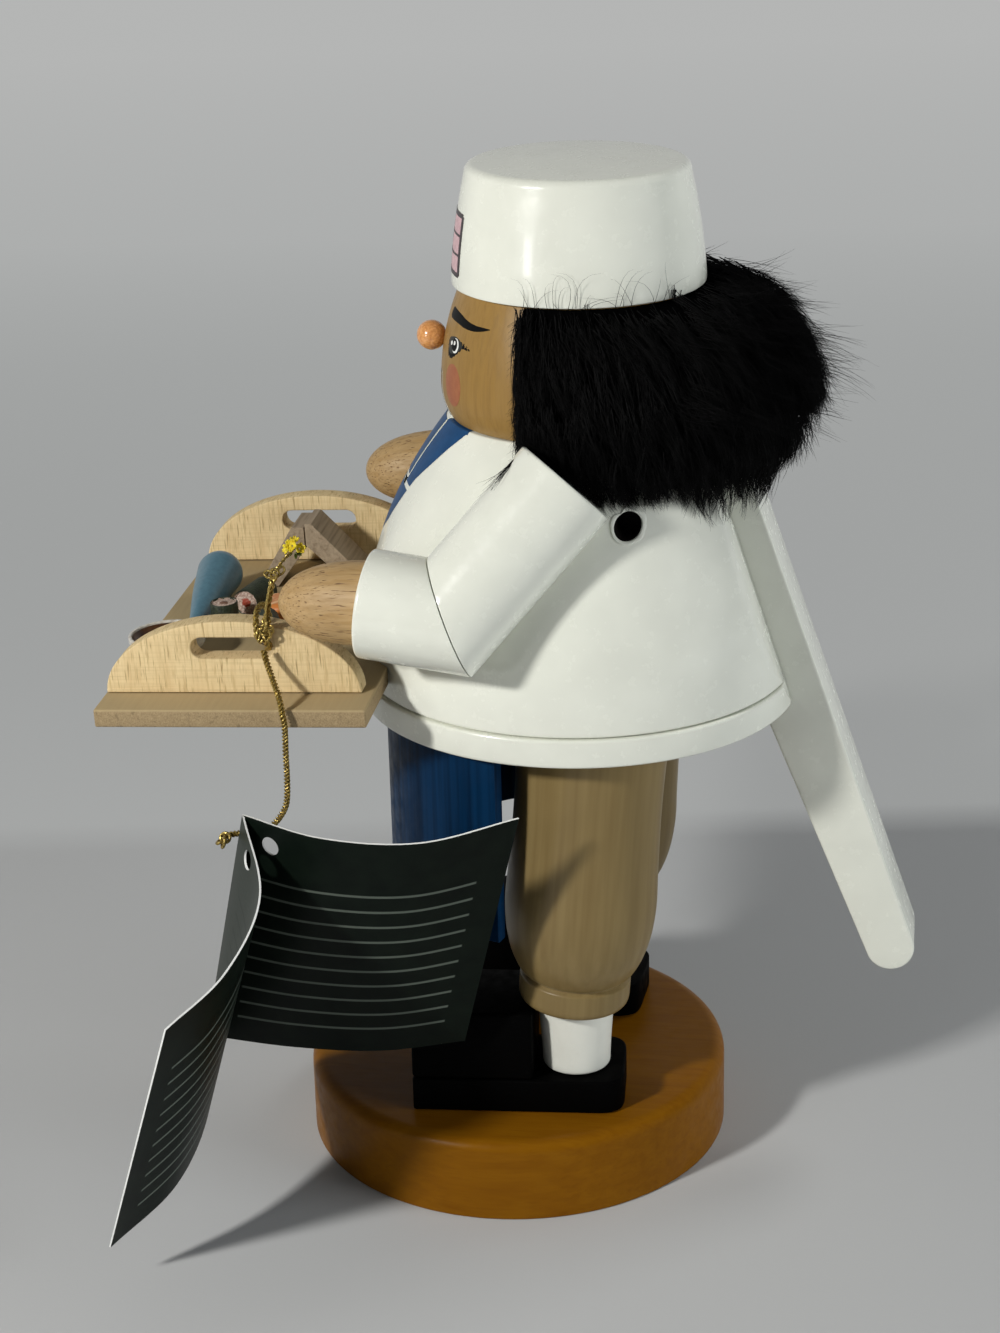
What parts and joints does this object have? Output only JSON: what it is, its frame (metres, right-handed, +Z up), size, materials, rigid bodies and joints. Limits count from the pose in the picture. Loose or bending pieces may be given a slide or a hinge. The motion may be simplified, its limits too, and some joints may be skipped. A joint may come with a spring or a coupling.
{
  "type": "nutcracker figure",
  "caption": "Turned wooden nutcracker figure on a round stand, holding a tray, with a hinged jaw worked by a long back lever and a folded card on a cord.",
  "frame": {"origin": "centre of the stand's underside", "axes": "+Z up, the figure faces -Y, its left side is +X"},
  "size_m": [0.1989, 0.2116, 0.2808],
  "materials": {
    "base_lacquer": "satin lacquer over beech",
    "shoe_black": "matte black paint",
    "sock_white": "satin white paint",
    "leg_beige": "satin beige stain",
    "apron_navy": "satin dark blue stain",
    "white_gloss": "glossy white lacquer",
    "head_wood": "clear satin lacquer, painted face",
    "nose_lacquer": "glossy orange brown",
    "hand_beech": "bare beech",
    "tray_spruce": "bare sawn spruce",
    "dowel_wood": "bare",
    "pin_steel": "dark",
    "hair_fur": "black fur",
    "gold_cord": "twisted metallic thread",
    "card": "satin coated card",
    "fish_blue": "satin paint",
    "dish_white": "glossy white paint, brown inside",
    "seaweed_green": "satin paint",
    "salmon_orange": "satin paint",
    "flower_yellow": "dyed"
  },
  "bodies": {
    "figure": {"base": "base_lacquer", "hem_disc": "white_gloss", "tunic": "white_gloss", "apron": "apron_navy", "head": "head_wood", "cap": "white_gloss", "nose": "nose_lacquer", "hair": "hair_fur", "pivot_pin": "pin_steel", "cap_dowel": "dowel_wood", "tray_board": "tray_spruce", "left_tray_handle": "tray_spruce", "right_tray_handle": "tray_spruce", "slat_steep": "tray_spruce", "slat_leaning": "tray_spruce", "sauce_dish": "dish_white", "fish": "fish_blue", "roll_near": "seaweed_green", "roll_standing": "seaweed_green", "roll_back": "seaweed_green", "salmon_piece": "salmon_orange", "flower_sprig": "flower_yellow", "bar_cord": "gold_cord", "left_shoe_sole": "shoe_black", "left_toe_block": "shoe_black", "left_sock": "sock_white", "left_leg": "leg_beige", "left_ankle_dowel": "dowel_wood", "left_hip_dowel": "dowel_wood", "left_neck_dowel": "dowel_wood", "left_shoulder_dowel": "dowel_wood", "left_upper_arm": "white_gloss", "left_forearm": "white_gloss", "left_hand": "hand_beech", "right_shoe_sole": "shoe_black", "right_toe_block": "shoe_black", "right_sock": "sock_white", "right_leg": "leg_beige", "right_ankle_dowel": "dowel_wood", "right_hip_dowel": "dowel_wood", "right_neck_dowel": "dowel_wood", "right_shoulder_dowel": "dowel_wood", "right_upper_arm": "white_gloss", "right_forearm": "white_gloss", "right_hand": "hand_beech"},
    "lever": {"jaw_lever": "white_gloss"},
    "tag": {"tag_cord": "gold_cord", "card_back_panel": "card"},
    "tag_cover": {"card_front_panel": "card"}
  },
  "joints": [
    {"name": "jaw", "type": "hinge", "parent": "figure", "child": "lever", "pos_m": [0, 0.0376, 0.1954], "axis": [1, 0, 0], "range_deg": [0, 22]},
    {"name": "tag_swing", "type": "hinge", "parent": "figure", "child": "tag", "pos_m": [0.0684, -0.0474, 0.152], "axis": [1, 0, 0], "range_deg": [-18, 6]},
    {"name": "card_fold", "type": "hinge", "parent": "tag", "child": "tag_cover", "pos_m": [0.05755, -0.06975, 0.0843], "axis": [0.2228, 0.2353, 0.946], "range_deg": [-30, 15]}
  ]
}
